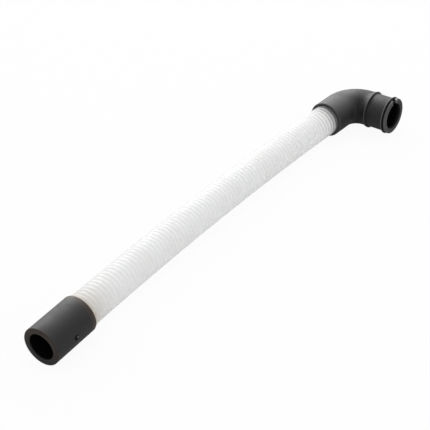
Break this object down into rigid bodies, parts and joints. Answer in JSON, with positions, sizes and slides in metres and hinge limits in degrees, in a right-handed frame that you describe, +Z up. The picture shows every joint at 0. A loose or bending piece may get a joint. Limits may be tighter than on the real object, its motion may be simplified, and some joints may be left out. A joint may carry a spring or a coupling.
{
  "type": "washing machine pump hose",
  "caption": "Corrugated white plastic pump hose with a straight black rubber cuff on one end and a black rubber right-angle elbow with collar, flange and keyed lip on the other.",
  "frame": {"origin": "on the surface that the hose lies on, under the middle of its bounding box", "axes": "+X along the hose's chord from the cuff to the elbow, +Z up, and the elbow's mouth towards -Y"},
  "size_m": [0.4426, 0.0678, 0.0356],
  "materials": {
    "black_rubber": "matt moulded rubber",
    "white_plastic": "satin blown plastic"
  },
  "bodies": {
    "root": {"straight_cuff": "black_rubber", "corrugated_hose": "white_plastic", "elbow": "black_rubber"}
  },
  "joints": []
}
